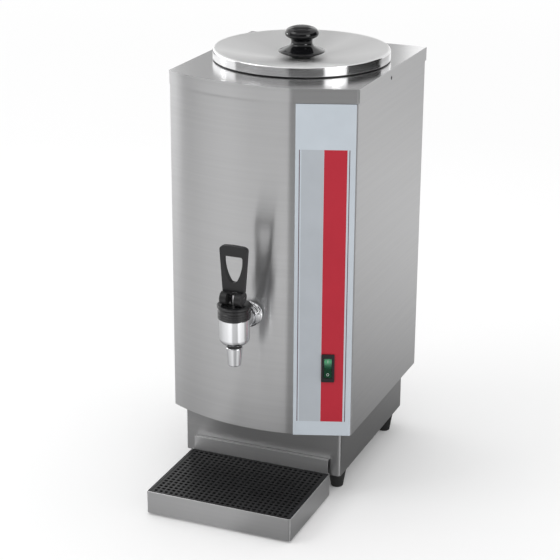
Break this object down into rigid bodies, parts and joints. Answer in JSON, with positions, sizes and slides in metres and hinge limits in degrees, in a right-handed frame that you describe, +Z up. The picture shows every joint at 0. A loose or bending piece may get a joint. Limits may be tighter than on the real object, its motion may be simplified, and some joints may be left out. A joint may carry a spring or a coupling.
{
  "type": "milk warmer",
  "caption": "Countertop milk warmer: bowed steel casing on a set-back plinth, jacketed pot under a lift-off lid, self-closing lever tap, rocker switch and drip tray with grid.",
  "frame": {"origin": "on the counter, under the middle of the outline of feet, body and tray", "axes": "+Z up, -Y towards the user, +X to the right of a person facing the front"},
  "size_m": [0.22, 0.3492, 0.5114],
  "materials": {
    "casing_steel": "satin brushed stainless sheet",
    "inner_steel": "plain stainless sheet",
    "lid_steel": "spun and polished stainless",
    "chrome": "polished chrome plate",
    "zinc": "bright zinc plate",
    "black_gloss": "glossy black moulding",
    "black_matte": "satin black moulding",
    "rubber": "matte black rubber",
    "label": "pale plate with a red and a grey band",
    "green_lens": "translucent green",
    "brass": "plain brass",
    "white_plastic": "white insulating moulding",
    "silicone": "pale silicone",
    "wool": "mineral wool",
    "lead": "insulated lead"
  },
  "bodies": {
    "casing": {"outer_casing": "casing_steel", "front_fascia": "casing_steel", "top_cover": "casing_steel", "casing_floor": "inner_steel", "base_shell": "casing_steel", "base_plate": "inner_steel", "rubber_feet": "rubber", "foot_screws": "zinc", "foot_nuts": "zinc", "base_screws": "zinc", "cover_screws": "zinc", "label_plate": "label", "switch_housing": "black_matte", "switch_blades": "brass", "milk_pot": "inner_steel", "pot_gasket": "silicone", "water_tank": "inner_steel", "insulation_wrap": "wool", "heating_element": "inner_steel", "heater_nuts": "brass", "thermostat": "white_plastic", "safety_cutout": "white_plastic", "outlet_pipe": "inner_steel", "pipe_grommet": "rubber", "outlet_seal": "silicone", "shank_nut": "brass", "tap_collar": "chrome", "collar_seal": "rubber", "tap_body": "chrome", "tap_bonnet": "black_matte", "tap_spring": "inner_steel", "cable_gland": "black_matte", "gland_nut": "black_matte", "terminal_block": "white_plastic", "wiring": "lead"},
    "lid": {"lid_pan": "lid_steel", "lid_knob": "black_gloss", "knob_washer": "black_matte", "knob_screw": "zinc"},
    "rocker": {"switch_rocker": "green_lens"},
    "stem": {"tap_stem": "inner_steel", "seat_cup": "silicone", "lever_pin": "inner_steel"},
    "lever": {"tap_lever": "black_gloss"},
    "tray": {"drip_tray": "casing_steel", "tray_pads": "rubber"},
    "grid": {"drip_grid": "black_matte", "grid_feet": "rubber"}
  },
  "joints": [
    {"name": "lid_lift", "type": "slide", "parent": "casing", "child": "lid", "axis": [0, 0, 1], "range_m": [0, 0.12]},
    {"name": "stem_lift", "type": "slide", "parent": "casing", "child": "stem", "axis": [0, 0, 1], "range_m": [0, 0.0044], "stiffness_N_per_m": 1500, "deforming": ["tap_spring"]},
    {"name": "lever_tilt", "type": "hinge", "parent": "stem", "child": "lever", "pos_m": [0, -0.12665, 0.2543], "axis": [1, 0, 0], "range_deg": [0, 45]},
    {"name": "rocker_tip", "type": "hinge", "parent": "casing", "child": "rocker", "pos_m": [0.08256, -0.05918, 0.1605], "axis": [0.9386, 0.3449, 0], "range_deg": [0, 18]},
    {"name": "tray_pull", "type": "slide", "parent": "casing", "child": "tray", "axis": [0, -1, 0], "range_m": [0, 0.14]},
    {"name": "grid_lift", "type": "slide", "parent": "tray", "child": "grid", "axis": [0, 0, 1], "range_m": [0, 0.045]}
  ],
  "couplings": [
    {"joint": "lever_tilt", "follows": "stem_lift", "rad_per_m": 178.4}
  ]
}
